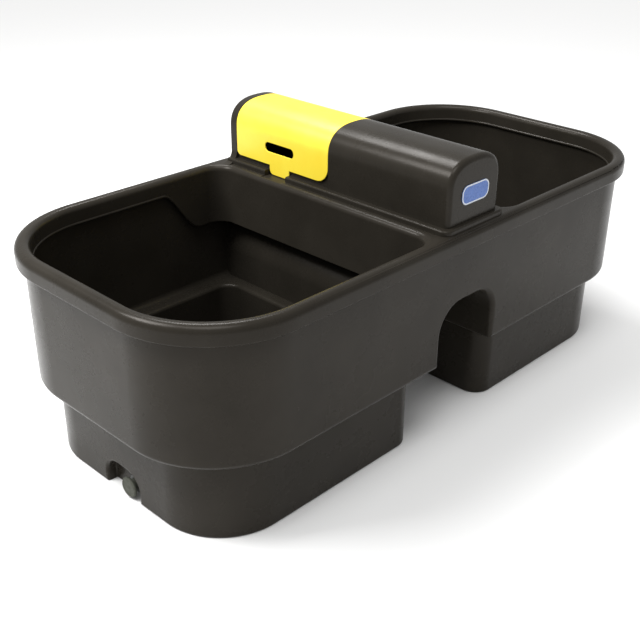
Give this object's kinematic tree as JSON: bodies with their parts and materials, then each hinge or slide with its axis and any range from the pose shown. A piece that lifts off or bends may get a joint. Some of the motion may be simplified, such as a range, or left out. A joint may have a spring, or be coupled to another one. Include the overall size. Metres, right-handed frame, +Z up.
{
  "type": "livestock water trough",
  "caption": "Double-bay moulded livestock water trough with a pipe tunnel, a lidded float valve housing on the bridge, and a drain in each bay.",
  "frame": {"origin": "middle of the footprint, on the ground", "axes": "+X along the trough's length from the left bay to the right, +Y across it towards the lid's end of the housing, +Z up"},
  "size_m": [1.685, 0.8, 0.712],
  "materials": {
    "black_polyethylene": "satin rotationally moulded polyethylene",
    "yellow_polyethylene": "satin moulded polyethylene",
    "blue_plate": "glossy plain plate",
    "stainless": "plain drawn",
    "brass": "cast and machined",
    "black_rubber": "matt",
    "grey_polypropylene": "moulded",
    "red_fibre": "pressed fibre",
    "white_nylon": "moulded",
    "orange_float": "blow moulded"
  },
  "bodies": {
    "trough": {"trough_body": "black_polyethylene", "hinge_pin_near": "stainless", "hinge_pin_far": "stainless", "badge_plate": "blue_plate", "drain_collar_left": "grey_polypropylene", "drain_washer_left": "black_rubber", "drain_back_nut_left": "grey_polypropylene", "drain_collar_right": "grey_polypropylene", "drain_washer_right": "black_rubber", "drain_back_nut_right": "grey_polypropylene", "inlet_fitting": "brass", "inlet_seal_upper": "black_rubber", "inlet_seal_lower": "black_rubber", "inlet_back_nut": "brass", "riser_pipe": "stainless", "riser_elbow": "brass", "valve_union_washer": "red_fibre", "valve_body": "brass", "valve_nozzle": "white_nylon", "lever_pin": "stainless"},
    "lid": {"service_lid": "yellow_polyethylene"},
    "left_bung": {"drain_bung_left": "black_rubber"},
    "right_bung": {"drain_bung_right": "black_rubber"},
    "piston": {"valve_piston": "brass", "piston_washer": "black_rubber"},
    "float_arm": {"float_lever": "brass", "float_ball": "orange_float", "float_lock_nut": "brass"}
  },
  "joints": [
    {"name": "lid_hinge", "type": "hinge", "parent": "trough", "child": "lid", "pos_m": [0.104, 0.1685, 0.604], "axis": [0, 1, 0], "range_deg": [0, 115]},
    {"name": "float_lever_hinge", "type": "hinge", "parent": "trough", "child": "float_arm", "pos_m": [0, 0.2024, 0.588], "axis": [-1, 0, 0], "range_deg": [0, 18]},
    {"name": "piston_slide", "type": "slide", "parent": "trough", "child": "piston", "axis": [0, 1, 0], "range_m": [0, 0.0052]},
    {"name": "left_bung_pull", "type": "slide", "parent": "trough", "child": "left_bung", "axis": [-1, 0, 0], "range_m": [0, 0.08]},
    {"name": "right_bung_pull", "type": "slide", "parent": "trough", "child": "right_bung", "axis": [1, 0, 0], "range_m": [0, 0.08]}
  ],
  "couplings": [
    {"joint": "piston_slide", "follows": "float_lever_hinge", "m_per_rad": 0.016}
  ]
}
